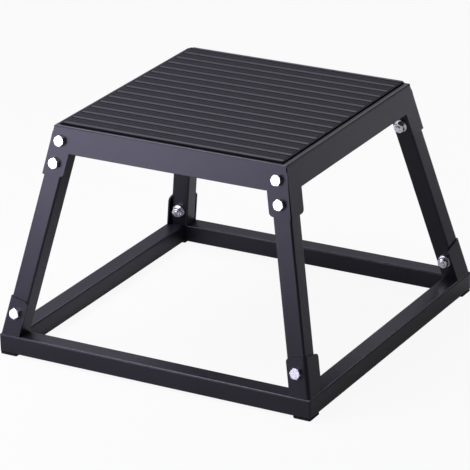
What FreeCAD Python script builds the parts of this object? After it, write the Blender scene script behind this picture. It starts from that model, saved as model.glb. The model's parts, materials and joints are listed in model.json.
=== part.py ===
# Plyo box: a bolted steel step with a ribbed rubber mat on a folded sheet pan.
# Millimetres. The origin is on the floor under the middle of the platform,
# +X runs to the right along the front edge, +Y to the back and +Z up.
# Four splayed legs of square tube are bolted to the ears of the top pan and to
# angle brackets that stand on the corners of a welded base frame.
import FreeCAD, Part
import math
import os

import Sketcher

# Driving dimensions: name, size, meaning
DRIVING = (
    ("overall_height", 305.0, "floor to the top of the mat's ribs"),
    ("base_width", 450.0, "outside of the square base frame"),
    ("platform_width", 330.0, "outside of the square pan at its upper edge, before the bend is rounded"),
    ("tube_side", 25.0, "side of the square tube of legs and base frame"),
    ("tube_wall", 1.5, "wall of that tube"),
    ("tube_corner", 2.5, "outside corner radius of that tube"),
    ("tube_corner_inside", 1.0, "inside corner radius of that tube"),
    ("weld_corner", 2.5, "radius ground on the upright corners of the base frame"),
    ("pan_sheet", 2.0, "sheet thickness of the top pan"),
    ("pan_bend_inside", 0.8, "inside radius of the pan's folds"),
    ("skirt_depth", 34.0, "pan's upper edge to the skirt's lower edge, down the slope"),
    ("ear_depth", 65.0, "pan's upper edge to the ear's lower edge, down the slope"),
    ("ear_width", 31.0, "pan's corner line to the ear's inner edge, along the fold"),
    ("ear_corner", 6.0, "radius of the ear's free lower corner"),
    ("relief_start", 2.5, "corner relief: upper end, down the corner line"),
    ("relief_end", 9.0, "corner relief: lower end, down the corner line"),
    ("relief_width", 1.6, "corner relief: width"),
    ("seam_start", 16.0, "open corner seam: upper end, down the corner line"),
    ("seam_width_top", 0.6, "open corner seam: width at its upper end"),
    ("seam_width_low", 2.2, "open corner seam: width at the ear's lower edge"),
    ("mat_width", 317.0, "mat, left to right"),
    ("mat_depth", 323.0, "mat, front to back"),
    ("mat_sheet", 2.3, "mat's thickness between the ribs"),
    ("rib_height", 1.0, "height of a rib above the mat's sheet"),
    ("rib_width", 5.0, "width of a rib at its foot"),
    ("rib_taper", 20.0, "slant of a rib's flanks, in degrees"),
    ("bracket_sheet", 2.0, "sheet thickness of a corner bracket"),
    ("bracket_bend_inside", 2.5, "inside radius of a corner bracket's bend"),
    ("bracket_setback", 1.2, "base frame's outer face to the bracket's outer face, on the frame's top"),
    ("bracket_height", 52.0, "base frame's top to the bracket's top, up the leg's corner line"),
    ("bracket_corner", 5.0, "radius of the bracket's free upper corners"),
    ("front_flange", 27.5, "width of the bolted flange of a bracket"),
    ("side_flange", 33.0, "width of the other flange of a bracket"),
    ("foot_side", 24.5, "side of a rubber foot"),
    ("foot_height", 3.0, "thickness of a rubber foot"),
    ("foot_setback", 0.4, "base frame's outer face to the foot's outer face"),
    ("foot_corner", 2.5, "radius of the foot's upright corners"),
    ("foot_bevel", 0.8, "bevel round the foot's tread"),
    ("bolt_diameter", 8.0, "thread diameter of the bolts"),
    ("bolt_head_flats", 13.0, "bolt head across its flats"),
    ("bolt_head_height", 5.3, "height of a bolt head"),
    ("bolt_standout", 1.5, "bolt's end past its nut"),
    ("bolt_end_bevel", 1.0, "bevel at the end of the thread"),
    ("bolt_hole_gap", 0.5, "room round a bolt in its hole, on the radius"),
    ("thread_gap", 0.05, "room between a bolt and its nut or washer, on the radius"),
    ("washer_diameter", 17.0, "outside of a washer"),
    ("washer_thickness", 1.6, "thickness of a washer"),
    ("nut_flats", 13.0, "nut across its flats"),
    ("nut_height", 6.5, "height of a nut"),
    ("top_bolt_drop", 17.5, "level of the pan's top to the first bolt, down the leg's corner line"),
    ("top_bolt_spacing", 30.0, "first to second bolt, down the leg"),
    ("base_bolt_rise", 33.0, "base frame's top to the lower bolt, up the leg's corner line"),
    ("cut_overrun", 5.0, "how far a cut runs past what it cuts"),
)

# What follows from them. Slope values are lengths on a slanted piece for each unit of height.
DERIVED = (
    ("pan_top", "dims.overall_height - dims.mat_sheet - dims.rib_height"),
    ("base_top", "dims.foot_height + dims.tube_side"),
    ("leg_rise", "pan_top - base_top"),
    ("leg_foot_half", "dims.base_width / 2 - dims.bracket_setback - dims.bracket_sheet"),
    ("splay", "(leg_foot_half - dims.platform_width / 2 + dims.pan_sheet) / leg_rise"),
    ("tilt", "atan(splay)"),
    ("skirt_stretch", "sqrt(1 + splay ^ 2)"),
    ("leg_stretch", "sqrt(1 + 2 * splay ^ 2)"),
    ("lean", "atan(splay / skirt_stretch)"),
    ("corner_tilt", "atan(sqrt(2) * splay)"),
    ("pan_inside_half", "dims.platform_width / 2 - dims.pan_sheet * skirt_stretch"),
    ("leg_corner_half", "pan_inside_half + splay * leg_rise"),
    ("leg_top", "pan_top - dims.pan_sheet - dims.pan_bend_inside"),
    ("leg_length", "leg_rise * leg_stretch"),
    ("tube_bore", "dims.tube_side - 2 * dims.tube_wall"),
    ("pan_bend_outside", "dims.pan_bend_inside + dims.pan_sheet"),
    ("pan_depth", "dims.ear_depth / skirt_stretch"),
    ("pan_cavity_half", "pan_inside_half + splay * dims.pan_sheet"),
    ("fold_run", "splay / skirt_stretch"),
    ("window_top_half", "dims.platform_width / 2 + fold_run * dims.skirt_depth - dims.ear_width"),
    ("ear_low_half", "dims.platform_width / 2 + fold_run * dims.ear_depth - dims.ear_width"),
    ("blank_depth", "pan_depth + dims.cut_overrun"),
    ("trim_low", "dims.ear_depth + 2 * dims.cut_overrun * skirt_stretch"),
    ("trim_half", "dims.platform_width / 2 + fold_run * trim_low + dims.cut_overrun"),
    ("seam_low", "(pan_depth + dims.cut_overrun) * leg_stretch"),
    ("corner_cut", "dims.pan_sheet + dims.cut_overrun"),
    ("bracket_bend_outside", "dims.bracket_bend_inside + dims.bracket_sheet"),
    ("bracket_corner_half", "dims.tube_side / 2 + dims.bracket_sheet"),
    ("drill_reach", "dims.tube_side / 2 + dims.pan_sheet + dims.bracket_sheet + dims.cut_overrun"),
    ("top_bolt_rise", "leg_length - dims.top_bolt_drop"),
    ("second_bolt_rise", "top_bolt_rise - dims.top_bolt_spacing"),
    ("bolt_stack", "dims.tube_side + dims.washer_thickness + dims.nut_height + dims.bolt_standout"),
    ("top_bolt_length", "dims.pan_sheet + bolt_stack"),
    ("base_bolt_length", "dims.bracket_sheet + bolt_stack"),
    ("thread_bore", "dims.bolt_diameter / 2 + dims.thread_gap"),
)

# A corner is a turn about the upright axis and the side of its leg, seen from outside: -1 left, 1 right.
CORNERS = {
    "front_left": (0, -1),
    "front_right": (0, 1),
    "back_right": (180, -1),
    "back_left": (180, 1),
}
SIDES = {"front": 0, "right": 90, "back": 180, "left": 270}
RIB_COUNT = 16
HEX_BEVEL_SHARE = 0.95
HEX_BEVEL_ANGLE = 30

# How tightening left the hex heads and nuts turned, in degrees
TOP_BOLT_TURN = 8
SECOND_BOLT_TURN = 22
BASE_BOLT_TURN = 14

# Sketch references: a line's first and second end, an arc's middle, the two axes and the origin point
FIRST_END, SECOND_END, MIDDLE = range(1, 4)
ACROSS_AXIS, UP_AXIS = range(-1, -3, -1)
ORIGIN = ACROSS_AXIS


def make_sheets(doc):
    """The driving sheet holds plain numbers, the layout sheet what follows from them."""
    dims = doc.addObject("Spreadsheet::Sheet", "dims")
    for row, (name, size, meaning) in enumerate(DRIVING, start=1):
        dims.set(f"A{row}", meaning)
        dims.set(f"B{row}", str(size))
        dims.setAlias(f"B{row}", name)
    layout = doc.addObject("Spreadsheet::Sheet", "layout")
    for row, (name, formula) in enumerate(DERIVED, start=1):
        layout.set(f"B{row}", "=" + formula)
        layout.setAlias(f"B{row}", name)
    doc.recompute()


def size_of(doc, reference):
    """Number behind a sheet reference such as dims.tube_side."""
    sheet, alias = reference.split(".")
    return float(getattr(doc.getObject(sheet), alias))


def place(across="0", inwards="0", up="0", turns=()):
    """Placement expression: a shift, then turns, each an axis letter and an angle, one after the other."""
    axes = {"x": "vector(1; 0; 0)", "y": "vector(0; 1; 0)", "z": "vector(0; 0; 1)"}
    turned = " * ".join(f"rotation({axes[axis]}; {angle})" for axis, angle in turns or [("z", "0")])
    return f"placement(vector({across}; {inwards}; {up}); {turned})"


def leg_axis(corner):
    """Frame on a leg's centre line at the base frame's top: X across, Y inwards, Z up the leg."""
    turn, hand = corner
    corner_line = place(
        f"{hand} * layout.leg_corner_half", "-layout.leg_corner_half", "layout.base_top",
        [("x", "-layout.tilt"), ("y", f"{-hand} * layout.lean")])
    to_middle = place(f"{-hand} * dims.tube_side / 2", "dims.tube_side / 2")
    return " * ".join([place(turns=[("z", turn)]), corner_line, to_middle])


def bolt_axis(corner, inwards, rise, turn=0):
    """Frame on a bolt's axis with Z pointing inwards through the leg, at a distance from its middle."""
    return leg_axis(corner) + " * " + place("0", inwards, rise, [("x", -90), ("z", turn)])


def new_body(doc, name, placement=None):
    """Empty body with its label and, where given, its placement."""
    body = doc.addObject("PartDesign::Body", name)
    body.Label = name
    if placement:
        body.setExpression("Placement", placement)
    return body


def origin_feature(body, role):
    """One of the body's own origin planes or axes."""
    return next(item for item in body.Origin.OriginFeatures if item.Role == role)


def new_sketch(body, name, role="XY_Plane", offset=None):
    """Empty sketch on one of the body's own planes, shifted by an expression where given."""
    sketch = body.newObject("Sketcher::SketchObject", f"{body.Name}_{name}")
    sketch.AttachmentSupport = [(origin_feature(body, role), "")]
    sketch.MapMode = "FlatFace"
    if offset:
        sketch.setExpression("AttachmentOffset", offset)
    return sketch


def pin(sketch, kind, line, axis, expression):
    """Hold a line's first end at a distance from the origin, or on the axis where that is zero."""
    if expression == "0":
        sketch.addConstraint(Sketcher.Constraint("PointOnObject", line, FIRST_END, axis))
        return
    index = sketch.addConstraint(Sketcher.Constraint(kind, ORIGIN, FIRST_END, line, FIRST_END, 1.0))
    sketch.setExpression(f"Constraints[{index}]", expression)


def draw_outline(sketch, corners):
    """Closed loop of straight lines whose corners are pairs of expressions."""
    first = sketch.GeometryCount
    count = len(corners)
    angles = [2 * math.pi * index / count for index in range(count)]
    spots = [FreeCAD.Vector(math.cos(angle), math.sin(angle), 0) for angle in angles]
    for index in range(count):
        sketch.addGeometry(Part.LineSegment(spots[index], spots[(index + 1) % count]))
    for index in range(count):
        line = first + index
        following = first + (index + 1) % count
        sketch.addConstraint(Sketcher.Constraint("Coincident", line, SECOND_END, following, FIRST_END))
    for index, (across, up) in enumerate(corners):
        pin(sketch, "DistanceX", first + index, UP_AXIS, across)
        pin(sketch, "DistanceY", first + index, ACROSS_AXIS, up)


def draw_rectangle(sketch, width, depth):
    """Rectangle about the sketch's origin."""
    draw_outline(sketch, [(f"{x} * {width} / 2", f"{y} * {depth} / 2")
                          for x, y in ((-1, -1), (1, -1), (1, 1), (-1, 1))])


def draw_circle(sketch, radius):
    """Circle about the sketch's origin."""
    circle = sketch.addGeometry(Part.Circle(FreeCAD.Vector(), FreeCAD.Vector(0, 0, 1), 1.0))
    sketch.addConstraint(Sketcher.Constraint("Coincident", circle, MIDDLE, ORIGIN, FIRST_END))
    index = sketch.addConstraint(Sketcher.Constraint("Radius", circle, 1.0))
    sketch.setExpression(f"Constraints[{index}]", radius)


def draw_rounded_square(sketch, doc, side, radius):
    """Square about the sketch's origin with round corners; both sizes are sheet references."""
    half = size_of(doc, side) / 2
    bend = size_of(doc, radius)
    flat = half - bend
    upright = FreeCAD.Vector(0, 0, 1)
    lines = []
    arcs = []
    for quarter in range(4):
        turn = FreeCAD.Rotation(upright, 90 * quarter)
        start = turn.multVec(FreeCAD.Vector(-flat, -half, 0))
        end = turn.multVec(FreeCAD.Vector(flat, -half, 0))
        circle = Part.Circle(turn.multVec(FreeCAD.Vector(flat, -flat, 0)), upright, bend)
        begin = math.radians(90 * (quarter - 1))
        lines.append(sketch.addGeometry(Part.LineSegment(start, end)))
        arcs.append(sketch.addGeometry(Part.ArcOfCircle(circle, begin, begin + math.pi / 2)))
    front, right, back, left = lines
    for line, arc, following in zip(lines, arcs, (right, back, left, front)):
        sketch.addConstraint(Sketcher.Constraint("Tangent", line, SECOND_END, arc, FIRST_END))
        sketch.addConstraint(Sketcher.Constraint("Tangent", arc, SECOND_END, following, FIRST_END))
    for line in (front, back):
        sketch.addConstraint(Sketcher.Constraint("Horizontal", line))
    for line in (right, left):
        sketch.addConstraint(Sketcher.Constraint("Vertical", line))
    for arc in arcs[1:]:
        sketch.addConstraint(Sketcher.Constraint("Equal", arcs[0], arc))
    near, _, far, _ = arcs
    sketch.addConstraint(Sketcher.Constraint("Symmetric", near, MIDDLE, far, MIDDLE, ORIGIN, FIRST_END))
    for kind, low, high in (("DistanceX", left, right), ("DistanceY", front, back)):
        index = sketch.addConstraint(Sketcher.Constraint(kind, low, FIRST_END, high, FIRST_END, 2 * half))
        sketch.setExpression(f"Constraints[{index}]", side)
    index = sketch.addConstraint(Sketcher.Constraint("Radius", near, bend))
    sketch.setExpression(f"Constraints[{index}]", radius)


def add_feature(body, kind, name, **settings):
    """Feature of a body: numbers and flags are set, texts are bound as expressions."""
    feature = body.newObject(f"PartDesign::{kind}", f"{body.Name}_{name}")
    for key, value in settings.items():
        if isinstance(value, str) and key not in ("Type", "SideType"):
            feature.setExpression(key, value)
        else:
            setattr(feature, key, value)
    return feature


def repeat(body, kind, name, original, **settings):
    """Pattern or mirror of a feature, which becomes the body's tip."""
    pattern = add_feature(body, kind, name, Originals=[original], **settings)
    body.Tip = pattern
    return pattern


def edges_near(shape, points):
    """Names of the edges whose middles are nearest to the points."""
    names = []
    for point in points:
        gaps = [edge.CenterOfMass.distanceToPoint(point) for edge in shape.Edges]
        names.append(f"Edge{gaps.index(min(gaps)) + 1}")
    return names


def round_edges(doc, body, name, base, points, radius):
    """Fillet on the edges of a feature that pass by the points."""
    doc.recompute()
    fillet = body.newObject("PartDesign::Fillet", f"{body.Name}_{name}")
    fillet.Base = (base, edges_near(base.Shape, points))
    fillet.setExpression("Radius", radius)
    return fillet


def quarter_turns(point):
    """A point and its three copies about the upright axis."""
    axis = FreeCAD.Vector(0, 0, 1)
    return [FreeCAD.Rotation(axis, 90 * quarter).multVec(point) for quarter in range(4)]


def make_boolean(doc, kind, name, base, tool):
    """Cut or common of two objects, under its own label."""
    result = doc.addObject(f"Part::{kind}", name)
    result.Base = base
    result.Tool = tool
    result.Label = name
    return result


def make_leg_span(doc):
    """Level slab between the base frame's top and the legs' upper ends, which trims what is slanted."""
    slab = doc.addObject("Part::Box", "leg_span")
    slab.setExpression("Length", "dims.base_width")
    slab.setExpression("Width", "dims.base_width")
    slab.setExpression("Height", "layout.leg_top - layout.base_top")
    edge = "-dims.base_width / 2"
    slab.setExpression("Placement", place(edge, edge, "layout.base_top"))
    return slab


def make_drills(doc, name, corner, rises):
    """Bolt holes of one corner, as solids to cut away."""
    drills = []
    for index, rise in enumerate(rises):
        drill = doc.addObject("Part::Cylinder", f"drill_{name}_{index}")
        drill.setExpression("Radius", "dims.bolt_diameter / 2 + dims.bolt_hole_gap")
        drill.setExpression("Height", "2 * layout.drill_reach")
        drill.setExpression("Placement", bolt_axis(corner, "-layout.drill_reach", rise))
        drills.append(drill)
    return make_group(doc, f"drills_{name}", drills)


def make_group(doc, name, members):
    """Several solids under one label."""
    group = doc.addObject("Part::Compound", name)
    group.Links = members
    group.Label = name
    return group


def tube_profile(doc, body, role, offset=None):
    """Section of the square tube: outer and inner rounded squares."""
    sketch = new_sketch(body, "section", role, offset)
    draw_rounded_square(sketch, doc, "dims.tube_side", "dims.tube_corner")
    draw_rounded_square(sketch, doc, "layout.tube_bore", "dims.tube_corner_inside")
    return sketch


def make_leg(doc, name, corner, span, drills):
    """Splayed leg: square tube, cut level at both ends, with its bolt holes."""
    stock = new_body(doc, f"stock_{name}", leg_axis(corner))
    section = tube_profile(doc, stock, "XY_Plane", place(up="-dims.tube_side"))
    add_feature(stock, "Pad", "tube", Profile=section, Length="layout.leg_length + 2 * dims.tube_side")
    trimmed = make_boolean(doc, "Common", f"trimmed_{name}", stock, span)
    return make_boolean(doc, "Cut", name, trimmed, drills)


def make_bracket(doc, name, corner, span, drills):
    """Angle bracket that wraps the foot of a leg: bolted flange in front, plain flange on the side."""
    hand = corner[1]
    blank = new_body(doc, f"blank_{name}", leg_axis(corner))
    outer = f"{hand} * layout.bracket_corner_half"
    inner = f"{hand} * dims.tube_side / 2"
    flange_end = f"{hand} * (layout.bracket_corner_half - dims.front_flange)"
    front = "-layout.bracket_corner_half"
    back = "dims.side_flange - layout.bracket_corner_half"
    face = "-dims.tube_side / 2"
    section = new_sketch(blank, "section", offset=place(up="-dims.tube_side"))
    draw_outline(section, [(flange_end, front), (outer, front), (outer, back), (inner, back),
                           (inner, face), (flange_end, face)])
    angle = add_feature(blank, "Pad", "angle", Profile=section,
                        Length="dims.bracket_height + dims.tube_side")
    half = size_of(doc, "dims.tube_side") / 2
    wide = size_of(doc, "layout.bracket_corner_half")
    top = size_of(doc, "dims.bracket_height")
    middle = (top - size_of(doc, "dims.tube_side")) / 2
    outside = FreeCAD.Vector(hand * wide, -wide, middle)
    inside = FreeCAD.Vector(hand * half, -half, middle)
    outer_bend = round_edges(doc, blank, "outer_bend", angle, [outside], "layout.bracket_bend_outside")
    inner_bend = round_edges(doc, blank, "inner_bend", outer_bend, [inside], "dims.bracket_bend_inside")
    in_sheet = (half + wide) / 2
    front_end = wide - size_of(doc, "dims.front_flange")
    side_end = size_of(doc, "dims.side_flange") - wide
    ends = [FreeCAD.Vector(hand * front_end, -in_sheet, top),
            FreeCAD.Vector(hand * in_sheet, side_end, top)]
    round_edges(doc, blank, "free_corners", inner_bend, ends, "dims.bracket_corner")
    trimmed = make_boolean(doc, "Common", f"trimmed_{name}", blank, span)
    return make_boolean(doc, "Cut", name, trimmed, drills)


def make_base_tubes(doc):
    """Four mitred tubes of the base frame, with the welded corners ground round."""
    block = new_body(doc, "ground_block", place(up="dims.foot_height"))
    outline = new_sketch(block, "outline")
    draw_rounded_square(outline, doc, "dims.base_width", "dims.weld_corner")
    add_feature(block, "Pad", "height", Profile=outline, Length="dims.tube_side")
    tubes = []
    for side, turn in SIDES.items():
        seat = place("0", "-(dims.base_width - dims.tube_side) / 2",
                     "dims.foot_height + dims.tube_side / 2")
        stock = new_body(doc, f"stock_base_{side}", place(turns=[("z", turn)]) + " * " + seat)
        section = tube_profile(doc, stock, "YZ_Plane", place(up="-dims.base_width / 2"))
        add_feature(stock, "Pad", "tube", Profile=section, Length="dims.base_width")
        mitre = new_sketch(stock, "mitre", offset=place(up="dims.tube_side"))
        beyond = "dims.base_width / 2 + dims.cut_overrun"
        inner = "dims.base_width / 2 - dims.tube_side - dims.cut_overrun"
        edge = "dims.tube_side / 2 + dims.cut_overrun"
        draw_outline(mitre, [(inner, edge), (beyond, f"-({edge})"), (beyond, edge)])
        cut = add_feature(stock, "Pocket", "mitre_cut", Profile=mitre, Length="2 * dims.tube_side")
        repeat(stock, "Mirrored", "mitre_pair", cut, MirrorPlane=(origin_feature(stock, "YZ_Plane"), [""]))
        tubes.append(make_boolean(doc, "Common", f"base_tube_{side}", stock, block))
    return tubes


def make_foot(doc, name, corner):
    """Square rubber pad under a corner of the base frame."""
    turn, hand = corner
    reach = "(dims.base_width / 2 - dims.foot_setback - dims.foot_side / 2)"
    foot = new_body(doc, name, place(turns=[("z", turn)]) + " * " + place(f"{hand} * {reach}", f"-{reach}"))
    outline = new_sketch(foot, "outline")
    draw_rounded_square(outline, doc, "dims.foot_side", "dims.foot_corner")
    pad = add_feature(foot, "Pad", "pad", Profile=outline, Length="dims.foot_height")
    doc.recompute()
    tread = [f"Edge{index}" for index, edge in enumerate(pad.Shape.Edges, start=1)
             if edge.BoundBox.ZMax < size_of(doc, "dims.foot_height") / 2]
    bevel = foot.newObject("PartDesign::Chamfer", f"{name}_bevel")
    bevel.Base = (pad, tread)
    bevel.setExpression("Size", "dims.foot_bevel")
    return foot


def make_pan_shell(doc):
    """Folded pan: plate with four sloping skirts that run down into ears at the corners."""
    pan = new_body(doc, "pan_shell")
    outline = new_sketch(pan, "outline", offset=place(up="layout.pan_top"))
    draw_rectangle(outline, "dims.platform_width", "dims.platform_width")
    add_feature(pan, "Pad", "block", Profile=outline, Reversed=True, Length="layout.blank_depth",
                TaperAngle="layout.tilt")
    cavity = new_sketch(pan, "cavity", offset=place(up="layout.pan_top - dims.pan_sheet"))
    draw_rectangle(cavity, "2 * layout.pan_cavity_half", "2 * layout.pan_cavity_half")
    hollow = add_feature(pan, "Pocket", "hollow", Profile=cavity, Length="layout.blank_depth",
                         TaperAngle="layout.tilt")
    top = size_of(doc, "layout.pan_top")
    edge = FreeCAD.Vector(0, -size_of(doc, "dims.platform_width") / 2, top)
    bend = round_edges(doc, pan, "outer_bends", hollow, quarter_turns(edge), "layout.pan_bend_outside")
    underside = top - size_of(doc, "dims.pan_sheet")
    inner_edge = FreeCAD.Vector(0, -size_of(doc, "layout.pan_cavity_half"), underside)
    round_edges(doc, pan, "inner_bends", bend, quarter_turns(inner_edge), "dims.pan_bend_inside")
    trims = trim_skirts(pan)
    round_ears(doc, pan, trims)
    cut_corners(pan)
    return pan


def trim_skirts(pan):
    """Cut each skirt square to its sheet: along its lower edge, round both ears and below them."""
    on_skirt = place("0", "layout.pan_top", "dims.platform_width / 2", [("x", "-layout.tilt")])
    sketch = new_sketch(pan, "trim_line", "XZ_Plane", on_skirt + " * " + place(up="dims.cut_overrun"))
    right = [("layout.window_top_half", "-dims.skirt_depth"), ("layout.ear_low_half", "-dims.ear_depth"),
             ("layout.trim_half", "-dims.ear_depth"), ("layout.trim_half", "-layout.trim_low")]
    left = [(f"-{across}", down) for across, down in reversed(right)]
    draw_outline(sketch, right + left)
    trim = add_feature(pan, "Pocket", "trim", Profile=sketch,
                       Length="2 * dims.cut_overrun + 2 * dims.pan_sheet")
    return repeat(pan, "PolarPattern", "trims", trim, Occurrences=4, Angle=360,
                  Axis=(origin_feature(pan, "Z_Axis"), [""]))


def round_ears(doc, pan, trims):
    """Round the free lower corner of each ear."""
    doc.recompute()
    depth = size_of(doc, "layout.pan_depth")
    half_sheet = size_of(doc, "dims.pan_sheet") / 2
    across = size_of(doc, "layout.ear_low_half")
    outside = size_of(doc, "dims.platform_width") / 2 + size_of(doc, "layout.splay") * depth
    outwards = outside - half_sheet / size_of(doc, "layout.skirt_stretch")
    up = size_of(doc, "layout.pan_top") - depth - half_sheet * size_of(doc, "layout.fold_run")
    corners = [FreeCAD.Vector(side * across, -outwards, up) for side in (-1, 1)]
    points = [point for corner in corners for point in quarter_turns(corner)]
    round_edges(doc, pan, "ear_corners", trims, points, "dims.ear_corner")


def cut_corners(pan):
    """Relief slot and open seam on the corner line between neighbouring skirts."""
    on_corner = place("dims.platform_width / 2", "layout.pan_top", "dims.platform_width / 2",
                      [("y", 45), ("x", "-layout.corner_tilt")])
    sketch = new_sketch(pan, "corner", "XZ_Plane", on_corner)
    slot = "dims.relief_width / 2"
    draw_outline(sketch, [(f"-{slot}", "-dims.relief_end"), (slot, "-dims.relief_end"),
                          (slot, "-dims.relief_start"), (f"-{slot}", "-dims.relief_start")])
    narrow, wide = "dims.seam_width_top / 2", "dims.seam_width_low / 2"
    draw_outline(sketch, [(f"-{wide}", "-layout.seam_low"), (wide, "-layout.seam_low"),
                          (narrow, "-dims.seam_start"), (f"-{narrow}", "-dims.seam_start")])
    seam = add_feature(pan, "Pocket", "seam", Profile=sketch, Length="layout.corner_cut")
    repeat(pan, "PolarPattern", "seams", seam, Occurrences=4, Angle=360,
           Axis=(origin_feature(pan, "Z_Axis"), [""]))


def make_mat(doc):
    """Rubber mat on the pan's plate, with straight ribs from left to right."""
    mat = new_body(doc, "top_mat", place(up="layout.pan_top"))
    outline = new_sketch(mat, "outline")
    draw_rectangle(outline, "dims.mat_width", "dims.mat_depth")
    add_feature(mat, "Pad", "sheet", Profile=outline, Length="dims.mat_sheet")
    front = place("0", "(dims.rib_width - dims.mat_depth) / 2", "dims.mat_sheet")
    rib_outline = new_sketch(mat, "rib_outline", offset=front)
    draw_rectangle(rib_outline, "dims.mat_width", "dims.rib_width")
    rib = add_feature(mat, "Pad", "rib", Profile=rib_outline, Length="dims.rib_height",
                      TaperAngle="-dims.rib_taper")
    repeat(mat, "LinearPattern", "ribs", rib, Direction=(origin_feature(mat, "Y_Axis"), [""]),
           Length="dims.mat_depth - dims.rib_width", Occurrences=RIB_COUNT)
    return mat


def trim_to_hex(doc, body, flats, depth, offset=None):
    """Cut six flats on a turned blank, downwards from the sketch's plane."""
    radius = f"{flats} / sqrt(3)"
    sketch = new_sketch(body, "flats", offset=offset)
    draw_circle(sketch, f"{radius} + dims.cut_overrun")
    near, far = f"{radius} / 2", f"{flats} / 2"
    draw_outline(sketch, [(radius, "0"), (near, far), (f"-{near}", far),
                          (f"-{radius}", "0"), (f"-{near}", f"-{far}"), (near, f"-{far}")])
    doc.recompute()
    return add_feature(body, "Pocket", "hex", Profile=sketch, Length=depth)


def turn_blank(doc, body, corners):
    """Solid of revolution about the body's own upright axis."""
    profile = new_sketch(body, "profile", "XZ_Plane")
    draw_outline(profile, corners)
    return add_feature(body, "Revolution", "turned", Profile=profile, Angle=360,
                       ReferenceAxis=(profile, ["V_Axis"]))


def hex_bevel(flats):
    """Radius where a hex head's bevel starts, and the bevel's height at the corners."""
    start = f"{flats} / 2 * {HEX_BEVEL_SHARE}"
    height = f"({flats} / sqrt(3) - {start}) * tan({HEX_BEVEL_ANGLE} deg)"
    return start, height


def make_bolt(doc, name, length):
    """Hex bolt along Z: the head's seat at zero, the thread above it."""
    bolt = new_body(doc, name)
    start, height = hex_bevel("dims.bolt_head_flats")
    corner = "dims.bolt_head_flats / sqrt(3)"
    shank = "dims.bolt_diameter / 2"
    turn_blank(doc, bolt, [
        ("0", "-dims.bolt_head_height"), (start, "-dims.bolt_head_height"),
        (corner, f"{height} - dims.bolt_head_height"), (corner, "0"), (shank, "0"),
        (shank, f"{length} - dims.bolt_end_bevel"), (f"{shank} - dims.bolt_end_bevel", length),
        ("0", length)])
    trim_to_hex(doc, bolt, "dims.bolt_head_flats", "dims.bolt_head_height")
    return bolt


def make_nut(doc):
    """Hex nut along Z, seated at zero, bevelled on both faces."""
    nut = new_body(doc, "hex_nut")
    start, height = hex_bevel("dims.nut_flats")
    corner = "dims.nut_flats / sqrt(3)"
    turn_blank(doc, nut, [
        ("layout.thread_bore", "0"), (start, "0"), (corner, height),
        (corner, f"dims.nut_height - {height}"), (start, "dims.nut_height"),
        ("layout.thread_bore", "dims.nut_height")])
    trim_to_hex(doc, nut, "dims.nut_flats", "dims.nut_height", place(up="dims.nut_height"))
    return nut


def make_washer(doc):
    """Flat washer along Z, seated at zero."""
    washer = new_body(doc, "flat_washer")
    ring = new_sketch(washer, "ring")
    draw_circle(ring, "dims.washer_diameter / 2")
    draw_circle(ring, "layout.thread_bore")
    add_feature(washer, "Pad", "plate", Profile=ring, Length="dims.washer_thickness")
    return washer


def place_copy(doc, name, original, placement):
    """Copy of a fastener at its place."""
    copy = doc.addObject("App::Link", name)
    copy.LinkedObject = original
    copy.setExpression("Placement", placement)
    return copy


def make_fasteners(doc, name, corner, stock, seat, rises):
    """Bolts, washers and nuts of one joint: heads outside, washers and nuts on the leg's inner face."""
    levels = {
        "bolt": f"-dims.tube_side / 2 - {seat}",
        "washer": "dims.tube_side / 2",
        "nut": "dims.tube_side / 2 + dims.washer_thickness",
    }
    groups = []
    for kind, inwards in levels.items():
        label = f"{name[0]}_{kind}s_{name[1]}" if len(rises) > 1 else f"{name[0]}_{kind}_{name[1]}"
        copies = [place_copy(doc, f"{label}_{index}", stock[kind], bolt_axis(corner, inwards, rise, turn))
                  for index, (rise, turn) in enumerate(rises)]
        groups.append(make_group(doc, label, copies))
    return groups


def make_all(doc):
    """Every sub-part of the box."""
    make_sheets(doc)
    span = make_leg_span(doc)
    washer = make_washer(doc)
    nut = make_nut(doc)
    top_bolt = make_bolt(doc, "top_bolt", "layout.top_bolt_length")
    base_bolt = make_bolt(doc, "base_bolt", "layout.base_bolt_length")
    top_stock = {"bolt": top_bolt, "washer": washer, "nut": nut}
    base_stock = {"bolt": base_bolt, "washer": washer, "nut": nut}
    top_rises = [("layout.top_bolt_rise", TOP_BOLT_TURN), ("layout.second_bolt_rise", SECOND_BOLT_TURN)]
    base_rises = [("dims.base_bolt_rise", BASE_BOLT_TURN)]
    heights = [rise for rise, _ in top_rises + base_rises]
    parts = make_base_tubes(doc)
    drills = {}
    for name, corner in CORNERS.items():
        drills[name] = make_drills(doc, name, corner, heights)
        parts.append(make_foot(doc, f"foot_{name}", corner))
        parts.append(make_bracket(doc, f"corner_bracket_{name}", corner, span, drills[name]))
        parts.append(make_leg(doc, f"leg_{name}", corner, span, drills[name]))
        parts += make_fasteners(doc, ("top", name), corner, top_stock, "dims.pan_sheet", top_rises)
        parts += make_fasteners(doc, ("base", name), corner, base_stock, "dims.bracket_sheet", base_rises)
    shell = make_pan_shell(doc)
    all_drills = make_group(doc, "all_drills", list(drills.values()))
    parts.append(make_boolean(doc, "Cut", "top_pan", shell, all_drills))
    parts.append(make_mat(doc))
    doc.recompute()
    return parts


def check_and_write(doc, parts):
    """Stop on any failed object or bad shape, then write one file for each sub-part."""
    for item in doc.Objects:
        if {"Invalid", "Error"} & set(item.State):
            raise RuntimeError(f"{item.Label} failed: {item.State}")
    for part in parts:
        if part.Shape.isNull() or not part.Shape.isValid():
            raise RuntimeError(f"{part.Label} has no valid shape")
    os.makedirs("parts", exist_ok=True)
    for part in parts:
        part.Shape.exportStep(f"parts/{part.Label}.step")
        print(part.Label, len(part.Shape.Solids), "solids", round(part.Shape.Volume, 1), "mm3")


document = FreeCAD.newDocument("plyo_box")
check_and_write(document, make_all(document))
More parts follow.
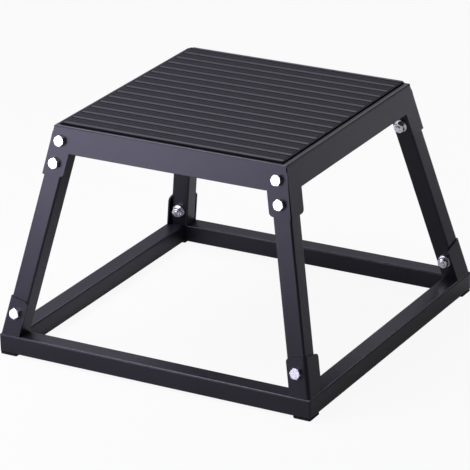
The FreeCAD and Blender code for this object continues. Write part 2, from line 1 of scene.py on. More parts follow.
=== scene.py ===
# %% [markdown]
# # A plyo box in black powder coat
# The real object is a low jump box for training: four splayed square tubes stand on a welded square base and
# carry a folded sheet pan with a ribbed rubber mat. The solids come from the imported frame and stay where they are.
# This lesson gives them their finishes, makes the mat with its ribs and studs, and lights it like a studio picture.

import json
import math

import bpy
import numpy as np
from mathutils import Matrix, Vector


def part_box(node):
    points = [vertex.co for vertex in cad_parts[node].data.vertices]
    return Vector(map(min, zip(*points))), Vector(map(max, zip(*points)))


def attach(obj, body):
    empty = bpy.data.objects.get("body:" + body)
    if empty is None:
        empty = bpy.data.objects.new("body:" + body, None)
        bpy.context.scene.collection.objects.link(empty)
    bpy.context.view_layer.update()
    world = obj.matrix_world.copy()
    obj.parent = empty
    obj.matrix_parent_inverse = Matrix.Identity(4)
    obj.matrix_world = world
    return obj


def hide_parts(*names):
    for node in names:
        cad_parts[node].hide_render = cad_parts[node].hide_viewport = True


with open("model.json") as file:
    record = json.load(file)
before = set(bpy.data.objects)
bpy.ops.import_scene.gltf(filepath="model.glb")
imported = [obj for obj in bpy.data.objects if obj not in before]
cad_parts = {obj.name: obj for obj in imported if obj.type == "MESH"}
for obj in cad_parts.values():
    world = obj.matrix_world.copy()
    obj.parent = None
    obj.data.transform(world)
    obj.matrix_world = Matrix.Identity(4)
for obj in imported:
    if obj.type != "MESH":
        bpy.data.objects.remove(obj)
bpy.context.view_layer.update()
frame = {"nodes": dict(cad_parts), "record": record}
scene = bpy.context.scene
nodes = frame["nodes"]

# %% [markdown]
# ## The camera
# The photograph was taken from the front right and a little above, from about four metres away with a long lens.
# A camera could be placed by eye. Here its place, its two angles and its small roll were worked out from the
# straight edges of the base, the legs and the platform, so that the render can be laid over the photograph.

# %% Work out the camera's axes
AZIMUTH, ELEVATION, ROLL = (math.radians(angle) for angle in (30.090, 22.192, -1.443))

backwards = Vector((math.sin(AZIMUTH) * math.cos(ELEVATION), -math.cos(AZIMUTH) * math.cos(ELEVATION),
                    math.sin(ELEVATION)))
level_right = Vector((math.cos(AZIMUTH), math.sin(AZIMUTH), 0))
level_up = backwards.cross(level_right)
right = math.cos(ROLL) * level_right + math.sin(ROLL) * level_up
up = math.cos(ROLL) * level_up - math.sin(ROLL) * level_right
print("the camera looks along", [round(part, 3) for part in -backwards])

# %% Place the camera
EYE = Vector((1.838456, -3.180028, 1.620284))
FOCAL_PIXELS, FRAME_PIXELS, SENSOR_MM, FAR_CLIP = 3080.8, 470, 36.0, 50

camera_data = bpy.data.cameras.new("photo_camera")
camera_data.sensor_width = SENSOR_MM
camera_data.lens = SENSOR_MM * FOCAL_PIXELS / FRAME_PIXELS
camera_data.clip_end = FAR_CLIP
camera = bpy.data.objects.new("photo_camera", camera_data)
camera.matrix_world = Matrix.Translation(EYE) @ Matrix((right, up, backwards)).transposed().to_4x4()
scene.collection.objects.link(camera)
scene.camera = camera
print("lens in mm", round(camera_data.lens, 1))

# %% [markdown]
# ## Colours and nodes
# Colours are written as sRGB hex values, as a picture editor shows them, and the shader wants linear light. One
# function turns the one into the other. Nodes could be added line by line, with a line more for each setting and
# link. One small function takes them all, so that a material reads from top to bottom as a list of what feeds what.

# %% Turn a written colour into light
def linear(hex_colour):
    """sRGB hex text to linear red, green, blue and full alpha, by the sRGB curve."""
    parts = np.array([int(hex_colour[start:start + 2], 16) for start in (1, 3, 5)]) / 255
    straight = np.where(parts <= 0.04045, parts / 12.92, ((parts + 0.055) / 1.055) ** 2.4)
    return (*straight.tolist(), 1.0)


print("white is", linear("#ffffff"), "and mid grey", round(linear("#808080")[0], 3))


# %% Add nodes and start a material
def add_node(tree, kind, inputs=None, **settings):
    """One node: settings are its own properties, inputs go by socket name or number, and a socket is linked."""
    node = tree.nodes.new(kind)
    for name, value in settings.items():
        setattr(node, name, value)
    for socket, value in (inputs or {}).items():
        if isinstance(value, bpy.types.NodeSocket):
            tree.links.new(value, node.inputs[socket])
        else:
            node.inputs[socket].default_value = value
    return node


def new_material(name):
    """Empty node material: itself, its tree, its output's surface and the Object coordinates for its patterns."""
    material = bpy.data.materials.new(name)
    material.use_nodes = True
    tree = material.node_tree
    tree.nodes.clear()
    output = add_node(tree, "ShaderNodeOutputMaterial")
    coordinates = add_node(tree, "ShaderNodeTexCoord")
    return material, tree, output.inputs["Surface"], coordinates.outputs["Object"]


def per_metre(millimetres):
    """Scale of a texture whose pattern repeats at that size."""
    return 1000 / millimetres


print("a pattern of 2 mm has the scale", per_metre(2))

# %% [markdown]
# ## Black powder coat
# The tubes, brackets and the pan are mild steel, sprayed with black polyester powder and baked. The powder melts
# into a skin that is not quite level, the orange peel, with bumps two or three millimetres apart, and finer grains
# in it that break up the gloss. To the eye that is a deep grey-black with a soft satin sheen, a little cool. One flat
# black could stand for it, but three noises, each at its own real size, give the cloud, the peel and the grain.

# %% Make the powder coat
CLOUD_MM, PEEL_MM, GRAIN_MM = 60, 2.6, 0.7
COAT_TONES, COAT_ROUGHNESS, COAT_SPECULAR = ("#16161a", "#1b1b20"), (0.31, 0.41), 0.28
PEEL_STRENGTH, PEEL_HEIGHT, GRAIN_STRENGTH, GRAIN_HEIGHT = 0.08, 0.0004, 0.06, 0.0002
NOISE_SPAN = (0.3, 0.7)  # most of a noise lies between these two, so the tones of a finish are set there

powder_coat, tree, surface, place = new_material("black_polyester_powder_coat")
cloud = add_node(tree, "ShaderNodeTexNoise", {"Vector": place, "Scale": per_metre(CLOUD_MM), "Detail": 3.0})
peel = add_node(tree, "ShaderNodeTexNoise", {"Vector": place, "Scale": per_metre(PEEL_MM), "Detail": 1.0})
grain = add_node(tree, "ShaderNodeTexNoise", {"Vector": place, "Scale": per_metre(GRAIN_MM), "Detail": 0.0})
colour = add_node(tree, "ShaderNodeValToRGB", {"Fac": cloud.outputs["Fac"]})
for stop, position, tone in zip(colour.color_ramp.elements, NOISE_SPAN, COAT_TONES):
    stop.position, stop.color = position, linear(tone)
roughness = add_node(tree, "ShaderNodeMapRange", {"Value": grain.outputs["Fac"], "To Min": COAT_ROUGHNESS[0],
                                                  "To Max": COAT_ROUGHNESS[1]})
low_bump = add_node(tree, "ShaderNodeBump", {"Height": peel.outputs["Fac"], "Strength": PEEL_STRENGTH,
                                             "Distance": PEEL_HEIGHT})
bump = add_node(tree, "ShaderNodeBump", {"Height": grain.outputs["Fac"], "Normal": low_bump.outputs["Normal"],
                                         "Strength": GRAIN_STRENGTH, "Distance": GRAIN_HEIGHT})
coat = add_node(tree, "ShaderNodeBsdfPrincipled", {
    "Base Color": colour.outputs["Color"], "Roughness": roughness.outputs["Result"], "Normal": bump.outputs["Normal"],
    "Specular IOR Level": COAT_SPECULAR})
tree.links.new(coat.outputs["BSDF"], surface)
print(powder_coat.name, "has", len(tree.nodes), "nodes")

# %% [markdown]
# ## Bright zinc plate
# Bolts, washers and nuts are steel with a thin bright zinc plate. It is a metal, so its colour is in its
# reflection: nearly white, a touch blue. The plate is softer than chrome, with cloudy patches in its gloss. An even
# grey metal would look like a casting, so one noise moves the tone and the gloss together.

# %% Make the zinc plate
PLATE_CLOUD_MM, PLATE_GRAIN_MM = 4, 0.5
PLATE_TONES, PLATE_ROUGHNESS, PLATE_STRENGTH, PLATE_HEIGHT = ("#f0f1f2", "#fbfbfb"), (0.22, 0.34), 0.05, 0.0001

zinc_plate, tree, surface, place = new_material("bright_zinc_plated_steel")
cloud = add_node(tree, "ShaderNodeTexNoise", {"Vector": place, "Scale": per_metre(PLATE_CLOUD_MM), "Detail": 3.0})
grain = add_node(tree, "ShaderNodeTexNoise", {"Vector": place, "Scale": per_metre(PLATE_GRAIN_MM), "Detail": 1.0})
colour = add_node(tree, "ShaderNodeValToRGB", {"Fac": cloud.outputs["Fac"]})
for stop, position, tone in zip(colour.color_ramp.elements, NOISE_SPAN, PLATE_TONES):
    stop.position, stop.color = position, linear(tone)
roughness = add_node(tree, "ShaderNodeMapRange", {"Value": cloud.outputs["Fac"], "To Min": PLATE_ROUGHNESS[0],
                                                  "To Max": PLATE_ROUGHNESS[1]})
bump = add_node(tree, "ShaderNodeBump", {"Height": grain.outputs["Fac"], "Strength": PLATE_STRENGTH,
                                         "Distance": PLATE_HEIGHT})
metal = add_node(tree, "ShaderNodeBsdfPrincipled", {
    "Base Color": colour.outputs["Color"], "Metallic": 1.0, "Roughness": roughness.outputs["Result"],
    "Normal": bump.outputs["Normal"]})
tree.links.new(metal.outputs["BSDF"], surface)
print(zinc_plate.name, "has", len(tree.nodes), "nodes")

# %% [markdown]
# ## Foot rubber
# The feet are small pads of hard black rubber, cut from moulded sheet. Rubber is duller than the paint beside it,
# with a fine dry skin, so it is the darkest thing in the picture. One noise at the skin's own size is enough here:
# it moves the tone, the gloss and the height at once.

# %% Make the foot rubber
PAD_SKIN_MM = 0.9
PAD_TONES, PAD_ROUGHNESS, PAD_SPECULAR = ("#101012", "#19191b"), (0.62, 0.8), 0.3
PAD_STRENGTH, PAD_HEIGHT = 0.2, 0.0003

foot_rubber, tree, surface, place = new_material("moulded_black_rubber")
skin = add_node(tree, "ShaderNodeTexNoise", {"Vector": place, "Scale": per_metre(PAD_SKIN_MM), "Detail": 3.0})
colour = add_node(tree, "ShaderNodeValToRGB", {"Fac": skin.outputs["Fac"]})
for stop, position, tone in zip(colour.color_ramp.elements, NOISE_SPAN, PAD_TONES):
    stop.position, stop.color = position, linear(tone)
roughness = add_node(tree, "ShaderNodeMapRange", {"Value": skin.outputs["Fac"], "To Min": PAD_ROUGHNESS[0],
                                                  "To Max": PAD_ROUGHNESS[1]})
bump = add_node(tree, "ShaderNodeBump", {"Height": skin.outputs["Fac"], "Strength": PAD_STRENGTH,
                                         "Distance": PAD_HEIGHT})
pad = add_node(tree, "ShaderNodeBsdfPrincipled", {
    "Base Color": colour.outputs["Color"], "Roughness": roughness.outputs["Result"], "Normal": bump.outputs["Normal"],
    "Specular IOR Level": PAD_SPECULAR})
tree.links.new(pad.outputs["BSDF"], surface)
print(foot_rubber.name, "has", len(tree.nodes), "nodes")

# %% [markdown]
# ## Finishes for the solids
# On the real object a whole group of parts goes through the same bath or spray booth. The record says which, as one
# material slot for each solid. A material could be set on each piece by name, but a table from slot to finish does
# it in one loop, and a part that is added later gets its finish too.

# %% Give the solids their finishes
FINISH_OF_SLOT = {"black_powder_coat": powder_coat, "zinc_plate": zinc_plate, "foot_rubber": foot_rubber}

for part in frame["record"]["subparts"]:
    if part["material_slot"] in FINISH_OF_SLOT:
        nodes[part["node"]].material_slots[0].material = FINISH_OF_SLOT[part["material_slot"]]
print("finished", sum(node.material_slots[0].material in FINISH_OF_SLOT.values() for node in nodes.values()))

# %% [markdown]
# ## The rounded edge of the pan's skirts
# The sheet's cut edge along the bottom of each skirt is rounded over before it is sprayed, because powder draws back
# from a sharp edge. It shows as a thin dark line under the skirt. A bevel on the sheet could do it, but the solid
# stays as it is. Here half an ellipse as wide as the sheet is carried along the run between the two ears, four times.

# %% Work out the edge's profile
PAN_TOP_MM, PLATFORM_HALF_MM, SKIRT_DEPTH_MM, SHEET_MM = 301.7, 165.0, 34.0, 2.0
SKIRT_TILT = math.radians(12.125)
EDGE_DROP_MM, EDGE_STEPS = 0.7, 13

down_slope = np.array((math.sin(SKIRT_TILT), -math.cos(SKIRT_TILT)))
off_sheet = np.array((math.cos(SKIRT_TILT), math.sin(SKIRT_TILT)))
edge_middle = np.array((PLATFORM_HALF_MM, PAN_TOP_MM)) + SKIRT_DEPTH_MM * down_slope - SHEET_MM / 2 * off_sheet


def half_ellipse(angles):
    """Points (out, up): the edge's middle, plus cosine times half the sheet across it, plus sine times the drop."""
    return edge_middle + (np.cos(angles)[:, None] * SHEET_MM / 2 * off_sheet
                          + np.sin(angles)[:, None] * EDGE_DROP_MM * down_slope)


edge_profile = half_ellipse(np.linspace(0, math.pi, EDGE_STEPS))
print("edge profile points", len(edge_profile), "lowest in mm", round(edge_profile[:, 1].min(), 2))


# %% Carry it along the four skirts
def carried_profile(profile, half_run, turns):
    """Points and faces of a closed profile (out, up), carried from minus to plus the half run, once for each turn
    about the upright axis: x is cosine times run plus sine times out, y is sine times run less cosine times out."""
    count = len(profile)
    run = np.repeat((-half_run, half_run), count)
    out, height = np.tile(profile, (2, 1)).T
    cosine, sine = np.cos(turns)[:, None], np.sin(turns)[:, None]
    points = np.stack([cosine * run + sine * out, sine * run - cosine * out,
                       np.broadcast_to(height, (len(turns), 2 * count))], axis=-1).reshape(-1, 3)
    ring = np.arange(count)
    after = np.roll(ring, -1)
    walls = np.stack([ring, after, after + count, ring + count], axis=-1)
    faces = [(face + 2 * count * side).tolist() for side in range(len(turns))
             for face in (*walls, ring[::-1], ring + count)]
    return points, faces


def new_piece(name, points, faces):
    """Object at the origin whose mesh has these points, given in millimetres, and these faces."""
    mesh = bpy.data.meshes.new(name)
    mesh.from_pydata((points / 1000).tolist(), [], faces)
    mesh.update()
    piece = bpy.data.objects.new(name, mesh)
    scene.collection.objects.link(piece)
    return piece


EDGE_HALF_RUN_MM, SKIRT_COUNT = 139.6, 4
quarter_turns = np.arange(SKIRT_COUNT) * math.pi / 2
skirt_edges = new_piece("pan_skirt_edges", *carried_profile(edge_profile, EDGE_HALF_RUN_MM, quarter_turns))
skirt_edges.data.materials.append(powder_coat)
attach(skirt_edges, "root")
print("edge faces", len(skirt_edges.data.polygons))

# %% [markdown]
# ## The mat
# A moulded rubber sheet is glued on the pan. Sixteen low ribs cross it from left to right, rounded at their
# shoulders, and they stop a little short of its ends. It could be a box with sixteen bars on it, but then the rubber
# would have sharp joints. Here the whole top is one height field: a rib wave across the mat times a fade at the ends.

# %% Work out the ribs
RIB_COUNT, RIB_FLAT_MM, RIB_FOOT_MM, RIB_HEIGHT_MM = 16, 4.2, 5.8, 1.0
LEFT_MARGIN_MM, RIGHT_MARGIN_MM, END_FADE_MM = 3.5, 0.8, 1.2
# The last two values here give the width and the fade of the line of painted shade at each rib's foot.
CROWN_FADE_MM, FOOT_SHADE_LINE_MM, FOOT_SHADE_FADE_MM = 0.2, 1.6, 0.8

mat_low, mat_high = (np.array(corner) * 1000 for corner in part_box("top_mat"))
rib_middles = np.linspace(mat_low[1] + RIB_FOOT_MM / 2, mat_high[1] - RIB_FOOT_MM / 2, RIB_COUNT)
half_flat, half_foot = RIB_FLAT_MM / 2, RIB_FOOT_MM / 2


def smooth_step(value):
    """From 0 to 1 with level ends: three squares minus two cubes of the clipped value."""
    clipped = np.clip(value, 0, 1)
    return clipped * clipped * (3 - 2 * clipped)


def rib_shares(along, across):
    """Shares of a rib's height, of its smooth crown, which also carries a painted highlight, and of the line of
    painted shade at its foot: smooth steps of the distance from the nearest rib's middle, times a smooth step of the
    distance from the ribs' ends."""
    distance = np.abs(across[..., None] - rib_middles).min(axis=-1)
    to_end = np.minimum(along - mat_low[0] - LEFT_MARGIN_MM, mat_high[0] - along - RIGHT_MARGIN_MM)
    fade = smooth_step(to_end / END_FADE_MM)
    height = smooth_step((half_foot - distance) / (half_foot - half_flat)) * fade
    crown = smooth_step((half_flat + CROWN_FADE_MM - distance) / CROWN_FADE_MM) * fade
    foot = (smooth_step((distance - half_flat) / CROWN_FADE_MM)
            * smooth_step((half_foot + FOOT_SHADE_LINE_MM - distance) / FOOT_SHADE_FADE_MM) * fade)
    return height, crown, foot


print("ribs", RIB_COUNT, "pitch in mm", round(rib_middles[1] - rib_middles[0], 2))

# %% Work out the mat's top
EDGE_ROUND_MM = 0.5


def mat_top(along, across):
    """Height of the top: the sheet, plus the ribs, less a round at the edge that falls as a quarter circle."""
    height, crown, foot = rib_shares(along, across)
    to_edge = np.minimum.reduce([along - mat_low[0], mat_high[0] - along, across - mat_low[1], mat_high[1] - across])
    short = np.clip(1 - to_edge / EDGE_ROUND_MM, 0, 1)
    round_off = EDGE_ROUND_MM * (1 - np.sqrt(1 - short * short))
    return mat_high[2] - RIB_HEIGHT_MM * (1 - height) - round_off, crown, foot


middle_height = mat_top(np.zeros(1), rib_middles[:1])[0][0]
print("a rib's middle is at", round(middle_height, 2), "mm, its band at", round(middle_height - RIB_HEIGHT_MM, 2))

# %% [markdown]
# ## The mat's grid and mesh
# An even grid fine enough for the shoulders would waste faces on the flat bands. So the grid's lines are put where
# the surface bends: close together at the mat's edges, the ribs' ends and their shoulders, and wide apart between.
# The height field is then closed with a flat underside and walls round the rim, as a sheet of rubber is.

# %% Choose the grid's lines
FLANK_START_MM, FLANK_STEPS, EDGE_LINES, SPAN_INSET_MM, SPAN_LINES = 0.3, 4, 4, 20, 15
END_ZONE_MM, END_LINES = (1, 6), 16

edge_steps = np.linspace(0, EDGE_ROUND_MM, EDGE_LINES)
end_steps = np.concatenate([edge_steps, np.linspace(*END_ZONE_MM, END_LINES)])
shoulder_steps = np.concatenate([[half_flat / 2], half_flat + CROWN_FADE_MM * np.array((0, 0.5, 1)),
                                 np.linspace(half_flat + FLANK_START_MM, half_foot, FLANK_STEPS),
                                 half_foot + FOOT_SHADE_LINE_MM * np.array((0.25, 0.5, 1))])
rib_steps = np.concatenate([-shoulder_steps, [0], shoulder_steps])
stations_x = np.concatenate([mat_low[0] + end_steps, mat_high[0] - end_steps,
                             np.linspace(mat_low[0] + SPAN_INSET_MM, mat_high[0] - SPAN_INSET_MM, SPAN_LINES)])
stations_y = np.concatenate([mat_low[1] + edge_steps, (rib_middles[:, None] + rib_steps).ravel(),
                             mat_high[1] - edge_steps])
stations_x, stations_y = (np.unique(np.clip(stations, low, high).round(4)) for stations, low, high in
                          ((stations_x, mat_low[0], mat_high[0]), (stations_y, mat_low[1], mat_high[1])))
grid_x, grid_y = np.meshgrid(stations_x, stations_y, indexing="ij")
grid_z, grid_crown, grid_foot_shade = mat_top(grid_x, grid_y)
print("mat grid", grid_z.shape, "top in mm", round(grid_z.max(), 2))


# %% Put the surface into a mesh
def closed_sheet(x, y, z, floor_z):
    """Points, faces and number of walls of a height field over a grid, closed below: the same grid at the floor's
    height, turned over, and walls round the rim."""
    rows, columns = z.shape
    count = rows * columns
    top = np.arange(count).reshape(rows, columns)
    quads = np.stack([top[:-1, :-1], top[1:, :-1], top[1:, 1:], top[:-1, 1:]], axis=-1).reshape(-1, 4)
    rim = np.concatenate([top[:, 0], top[-1, 1:], top[-2::-1, -1], top[0, -2:0:-1]])
    walls = np.stack([rim, rim + count, np.roll(rim, -1) + count, np.roll(rim, -1)], axis=-1)
    points = np.concatenate([np.stack([x, y, z], axis=-1).reshape(-1, 3),
                             np.stack([x, y, np.full_like(z, floor_z)], axis=-1).reshape(-1, 3)])
    return points, np.concatenate([quads, quads[:, ::-1] + count, walls]), len(walls)


sheet_points, sheet_faces, wall_count = closed_sheet(grid_x, grid_y, grid_z, mat_low[2])
mat = new_piece("ribbed_mat", sheet_points, sheet_faces.tolist())
face_numbers = np.arange(len(sheet_faces))
mat.data.polygons.foreach_set("use_smooth", face_numbers < grid_z[1:, 1:].size)
# In the mat rubber the foot share darkens the colour as painted shade and the crown share lightens it as a painted
# highlight. Both shares also set the roughness.
for share_name, share in (("crown", grid_crown), ("foot", grid_foot_shade)):
    attribute = mat.data.attributes.new(share_name, "FLOAT", "POINT")
    attribute.data.foreach_set("value", np.concatenate([share.ravel(), np.zeros(share.size)]))
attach(mat, "root")
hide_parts("top_mat")
print("mat faces", len(sheet_faces), "of them walls", wall_count)

# %% [markdown]
# ## The mat's studs
# Between the ribs the mould left rows of small round studs, which give the shoe its grip. They could be a bump in the
# material, but then the mesh would lack them. Here one stud, two rings of points with a wall and two caps, is worked
# out once and set down on a grid, three rows to each gap. The real studs are finer. These are four millimetres apart,
# because finer ones wouldn't show.

# %% Work out where the studs stand
STUD_PITCH_MM, STUD_ROWS, STUD_MARGIN_MM = 4.05, 3, 4.0

gap = rib_middles[1] - rib_middles[0]
rows_y = (rib_middles[:-1, None] + gap * np.arange(1, STUD_ROWS + 1) / (STUD_ROWS + 1)).ravel()
columns_x = np.arange(mat_low[0] + STUD_MARGIN_MM, mat_high[0] - STUD_MARGIN_MM, STUD_PITCH_MM)
stud_middles = np.stack(np.meshgrid(columns_x, rows_y, indexing="ij"), axis=-1).reshape(-1, 2)
print("studs", len(columns_x), "by", len(rows_y))

# %% Set the studs between the ribs
STUD_SIDES, STUD_FOOT_MM, STUD_TOP_MM, STUD_HEIGHT_MM, STUD_SUNK_MM = 8, 2.8, 2.0, 0.45, 0.1


def stud_field(middles, band_z):
    """Points and faces of the studs: a ring is the stud's middle plus a radius times cosine and sine, and a stud
    has a wide ring sunk below the band, a narrow one raised above it, walls between them and a cap on each."""
    angles = (np.arange(STUD_SIDES) + 0.5) * math.tau / STUD_SIDES
    circle = np.stack([np.cos(angles), np.sin(angles)], axis=-1)
    points = np.empty((len(middles), 2, STUD_SIDES, 3))
    points[..., :2] = middles[:, None, None] + np.stack([circle * STUD_FOOT_MM, circle * STUD_TOP_MM]) / 2
    points[..., 2] = np.array((band_z - STUD_SUNK_MM, band_z + STUD_HEIGHT_MM))[:, None]
    ring = np.arange(STUD_SIDES)
    after = np.roll(ring, -1)
    starts = np.arange(len(middles))[:, None, None] * 2 * STUD_SIDES
    walls = (np.stack([ring, after, after + STUD_SIDES, ring + STUD_SIDES], axis=-1) + starts).reshape(-1, 4)
    caps = (np.stack([ring[::-1], ring + STUD_SIDES]) + starts).reshape(-1, STUD_SIDES)
    return points.reshape(-1, 3), [*walls.tolist(), *caps.tolist()]


studs = new_piece("mat_studs", *stud_field(stud_middles, mat_high[2] - RIB_HEIGHT_MM))
attribute = studs.data.attributes.new("stud", "FLOAT", "POINT")
attribute.data.foreach_set("value", np.tile(np.repeat((0.0, 1.0), STUD_SIDES), len(stud_middles)))
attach(studs, "root")
print("studs", len(stud_middles), "faces", len(studs.data.polygons))

# %% [markdown]
# ## Mat rubber
# The rib tops came out of the mould smooth, and the bands with the studs are dry and dull. Seen low across the mat,
# the smooth tops catch the bright background while the bands don't, so the mat reads as pale lines on dark bands.
# Dust on the studs shows them as faint dots. Each crown also gets a painted highlight, a lighter colour, and the line
# at the foot of each rib gets painted shade, a darker colour, and is rougher too. Each could be a material on its own
# faces. One material that reads the shares kept in the mesh passes softly from one to the next.

# %% Work out the mat rubber's tone
DRY_SKIN_MM = 1.1
# The first value scales both the studs' dust and the crowns' painted highlight. The second is the painted highlight,
# a lighter colour on each rib's crown.
STUD_DUST_AND_CROWN_HIGHLIGHT, CROWN_PAINTED_HIGHLIGHT = 0.9, 0.28
MAT_TONES, MAT_SPAN = ("#030304", "#26262c"), (0.4, 1.0)

mat_rubber, tree, surface, place = new_material("moulded_studded_rubber")
crown, foot, stud = (add_node(tree, "ShaderNodeAttribute", attribute_name=share_name).outputs["Fac"]
                     for share_name in ("crown", "foot", "stud"))
skin = add_node(tree, "ShaderNodeTexNoise", {"Vector": place, "Scale": per_metre(DRY_SKIN_MM), "Detail": 2.0})
# Crowns get a painted highlight and studs get dust, both as a lighter colour.
raised = add_node(tree, "ShaderNodeMath", {0: crown, 1: CROWN_PAINTED_HIGHLIGHT, 2: stud}, operation="MULTIPLY_ADD")
dust_and_painted_highlight = add_node(tree, "ShaderNodeMath", {0: raised.outputs[0], 1: STUD_DUST_AND_CROWN_HIGHLIGHT, 2: skin.outputs["Fac"]},
                 operation="MULTIPLY_ADD")
# The foot share is taken off as painted shade, a darker colour along each rib's foot.
dust_and_painted_light = add_node(tree, "ShaderNodeMath", {0: dust_and_painted_highlight.outputs[0], 1: foot}, operation="SUBTRACT")
colour = add_node(tree, "ShaderNodeValToRGB", {"Fac": dust_and_painted_light.outputs[0]})
for stop, position, tone in zip(colour.color_ramp.elements, MAT_SPAN, MAT_TONES):
    stop.position, stop.color = position, linear(tone)
print(mat_rubber.name, "has", len(tree.nodes), "nodes so far")

# %% Give the mat rubber its gloss
BAND_ROUGHNESS, STUD_ROUGHNESS, CROWN_ROUGHNESS, MAT_SPECULAR = 1.0, 0.65, 0.33, 0.4
MAT_STRENGTH, MAT_HEIGHT = 0.1, 0.0002

worn = add_node(tree, "ShaderNodeMapRange", {"Value": stud, "To Min": BAND_ROUGHNESS, "To Max": STUD_ROUGHNESS})
smooth = add_node(tree, "ShaderNodeMapRange", {"Value": crown, "To Min": worn.outputs["Result"],
                                               "To Max": CROWN_ROUGHNESS})
roughness = add_node(tree, "ShaderNodeMath", {0: smooth.outputs["Result"], 1: foot}, operation="ADD", use_clamp=True)
bump = add_node(tree, "ShaderNodeBump", {"Height": skin.outputs["Fac"], "Strength": MAT_STRENGTH,
                                         "Distance": MAT_HEIGHT})
rubber = add_node(tree, "ShaderNodeBsdfPrincipled", {
    "Base Color": colour.outputs["Color"], "Roughness": roughness.outputs[0], "Normal": bump.outputs["Normal"],
    "Specular IOR Level": MAT_SPECULAR})
tree.links.new(rubber.outputs["BSDF"], surface)
mat.data.materials.append(mat_rubber)
studs.data.materials.append(mat_rubber)
print(mat_rubber.name, "has", len(tree.nodes), "nodes")

# %% [markdown]
# ## The mat's cut edge
# The mat was cut from a larger sheet with a steel die. A cut through rubber is rough and has no skin, so it throws
# back almost no light, and the rim shows as a black line. It gets a second material, on the faces of the walls alone.

# %% Make the cut edge
CUT_TONES, CUT_ROUGHNESS, CUT_SPECULAR = ("#060607", "#0c0c0e"), (0.9, 1.0), 0.1
CUT_STRENGTH, CUT_HEIGHT = 0.3, 0.0003

cut_rubber, tree, surface, place = new_material("die_cut_rubber_edge")
skin = add_node(tree, "ShaderNodeTexNoise", {"Vector": place, "Scale": per_metre(DRY_SKIN_MM), "Detail": 2.0})
colour = add_node(tree, "ShaderNodeValToRGB", {"Fac": skin.outputs["Fac"]})
for stop, position, tone in zip(colour.color_ramp.elements, NOISE_SPAN, CUT_TONES):
    stop.position, stop.color = position, linear(tone)
roughness = add_node(tree, "ShaderNodeMapRange", {"Value": skin.outputs["Fac"], "To Min": CUT_ROUGHNESS[0],
                                                  "To Max": CUT_ROUGHNESS[1]})
bump = add_node(tree, "ShaderNodeBump", {"Height": skin.outputs["Fac"], "Strength": CUT_STRENGTH,
                                         "Distance": CUT_HEIGHT})
cut = add_node(tree, "ShaderNodeBsdfPrincipled", {
    "Base Color": colour.outputs["Color"], "Roughness": roughness.outputs["Result"], "Normal": bump.outputs["Normal"],
    "Specular IOR Level": CUT_SPECULAR})
tree.links.new(cut.outputs["BSDF"], surface)
mat.data.materials.append(cut_rubber)
is_wall = face_numbers >= len(sheet_faces) - wall_count
mat.data.polygons.foreach_set("material_index", is_wall.astype(int))
print(cut_rubber.name, "is on", is_wall.sum(), "faces")

# %% [markdown]
# ## The floor
# The picture has a white ground. A floor lit up to white would throw too much light on the box from below. So the
# sheet is a light grey, and Light Path mixes in plain white where the camera looks at it, and a little where a
# gloss mirrors it. The rest of the mix is the lit grey, which keeps the soft shadow of the box.

# %% Lay the floor
FLOOR_HALF_MM, FLOOR_DROP_MM = 12000, 0.2

corners = np.array([(-1, -1, 0), (1, -1, 0), (1, 1, 0), (-1, 1, 0)]) * FLOOR_HALF_MM - (0, 0, FLOOR_DROP_MM)
floor = new_piece("studio_floor", corners, [(0, 1, 2, 3)])
print("floor in metres", [round(side, 1) for side in floor.dimensions])

# %% Make the floor's white
SHOWN_WHITE, MIRRORED_WHITE, SHEET_GREY, PAPER_WHITE = 0.92, 0.14, "#b9b9b9", "#ffffff"

floor_white, tree, surface, place = new_material("white_studio_sheet")
rays = add_node(tree, "ShaderNodeLightPath")
direct = add_node(tree, "ShaderNodeMath", {0: rays.outputs["Is Camera Ray"], 1: rays.outputs["Is Transmission Ray"]},
                  operation="MAXIMUM")
shown = add_node(tree, "ShaderNodeMath", {0: direct.outputs[0], 1: SHOWN_WHITE}, operation="MULTIPLY")
share = add_node(tree, "ShaderNodeMath", {0: rays.outputs["Is Glossy Ray"], 1: MIRRORED_WHITE, 2: shown.outputs[0]},
                 operation="MULTIPLY_ADD")
matt = add_node(tree, "ShaderNodeBsdfDiffuse", {"Color": linear(SHEET_GREY)})
white = add_node(tree, "ShaderNodeEmission", {"Color": linear(PAPER_WHITE), "Strength": 1.0})
sheet = add_node(tree, "ShaderNodeMixShader", {0: share.outputs[0], 1: matt.outputs[0], 2: white.outputs[0]})
tree.links.new(sheet.outputs[0], surface)
floor.data.materials.append(floor_white)
print(floor_white.name, "shows", SHOWN_WHITE, "white to the camera")

# %% [markdown]
# ## The room
# Black paint shows little colour of its own. What the eye reads on it is the room that it mirrors. The room here is
# white to the camera and pale to everything else, and what a gloss mirrors of it is darker at the front right, as if
# a black screen stood there. The faces that turn that way then stay deep black beside the paler ones. It could be
# built from walls, but the world's own shader does it with one direction and one smooth step.

# %% Surround it with a pale room
FILL, BRIGHT_SIDE, DARK_SIDE, ROOM_TINT = 0.32, 0.30, 0.08, "#f1eeff"
DARK_DIRECTION, DARK_EDGE = (0.85, -0.52, 0.0), (0.15, 0.7)

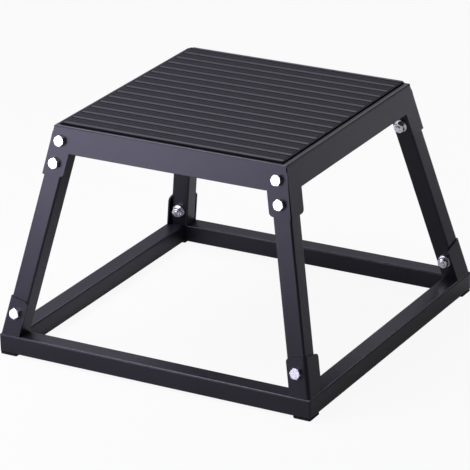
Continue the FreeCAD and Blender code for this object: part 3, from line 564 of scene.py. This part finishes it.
world = bpy.data.worlds.new("white_room")
world.use_nodes = True
tree = world.node_tree
tree.nodes.clear()
rays = add_node(tree, "ShaderNodeLightPath")
direction = add_node(tree, "ShaderNodeTexCoord")
facing = add_node(tree, "ShaderNodeVectorMath", {0: direction.outputs["Generated"], 1: DARK_DIRECTION},
                  operation="DOT_PRODUCT")
mirrored = add_node(tree, "ShaderNodeMapRange", {
    "Value": facing.outputs["Value"], "From Min": DARK_EDGE[0], "From Max": DARK_EDGE[1],
    "To Min": BRIGHT_SIDE, "To Max": DARK_SIDE}, interpolation_type="SMOOTHSTEP")
strength = add_node(tree, "ShaderNodeMapRange", {"Value": rays.outputs["Is Glossy Ray"], "To Min": FILL,
                                                 "To Max": mirrored.outputs["Result"]})
direct = add_node(tree, "ShaderNodeMath", {0: rays.outputs["Is Camera Ray"], 1: rays.outputs["Is Transmission Ray"]},
                  operation="MAXIMUM")
room = add_node(tree, "ShaderNodeBackground", {"Color": linear(ROOM_TINT), "Strength": strength.outputs["Result"]})
shown = add_node(tree, "ShaderNodeBackground", {"Color": linear(PAPER_WHITE), "Strength": 1.0})
seen = add_node(tree, "ShaderNodeMixShader", {0: direct.outputs[0], 1: room.outputs[0], 2: shown.outputs[0]})
add_node(tree, "ShaderNodeOutputWorld", {"Surface": seen.outputs[0]})
scene.world = world
print(world.name, "has", len(tree.nodes), "nodes")

# %% [markdown]
# ## The lamps
# A studio lights a black object with large soft boxes, each placed for one group of faces that mirrors it. The key
# stands at the front left for the skirt and the legs. Its spread is narrow, as a grid in front of the box makes it,
# so that it doesn't glare on the level faces when they are seen from behind. The floor box lights the ground that
# the base's front mirrors, the over box shines on the folds, the back left box on the mat's ribs and the base's
# tops, the background box is mirrored in the right-hand faces, and the edge box draws the upper edges.


# %% Hang the lamps
def soft_lamp(name, position, target, size, radiance, colour, spread):
    """Rectangular area lamp that faces the target; its power is its radiance times pi times its area."""
    width, height = size
    data = bpy.data.lights.new(name, "AREA")
    data.shape = "RECTANGLE"
    data.size, data.size_y = width, height
    data.energy = radiance * math.pi * width * height
    data.color = linear(colour)[:3]
    data.spread = math.radians(spread)
    lamp = bpy.data.objects.new(name, data)
    aim = (Vector(target) - Vector(position)).to_track_quat("-Z", "Y")
    lamp.matrix_world = Matrix.Translation(position) @ aim.to_matrix().to_4x4()
    scene.collection.objects.link(lamp)
    return lamp


LAMPS = (  # name, position, target, width and height, radiance, colour, spread in degrees
    ("key_softbox", (-0.80, -1.08, 0.57), (0, 0, 0.58), (0.95, 0.85), 1.38, "#e3deff", 63),
    ("floor_softbox", (-0.55, -0.95, 1.2), (-0.50, -0.75, 0), (0.7, 0.5), 4.0, "#e3deff", 90),
    ("over_softbox", (-0.75, -0.25, 1.65), (0, 0, 0.3), (1.0, 0.8), 5.8, "#f1eeff", 120),
    ("back_left_softbox", (-0.95, 1.5, 1.75), (0, 0, 0.2), (1.4, 0.8), 3.3, "#f1eeff", 180),
    ("background_softbox", (1.6, 2.2, 1.5), (1.59, 2.19, 0), (1.3, 1.3), 9.5, "#f4f1ff", 80),
    ("edge_softbox", (0.25, 1.9, 1.45), (0, 0, 0.25), (1.0, 0.4), 4.5, "#ffffff", 180),
)
for row in LAMPS:
    lamp = soft_lamp(*row)
    print(lamp.name, "watts", round(lamp.data.energy, 1))

# %% [markdown]
# ## Colours as they are written
# Blender can bend the picture's tones as film does, which greys the whites and deepens the colours. A catalogue
# picture wants the colours as they are written, so the plain transform is set.

# %% Show the colours plainly
scene.view_settings.view_transform = "Standard"
print("view transform", scene.view_settings.view_transform)
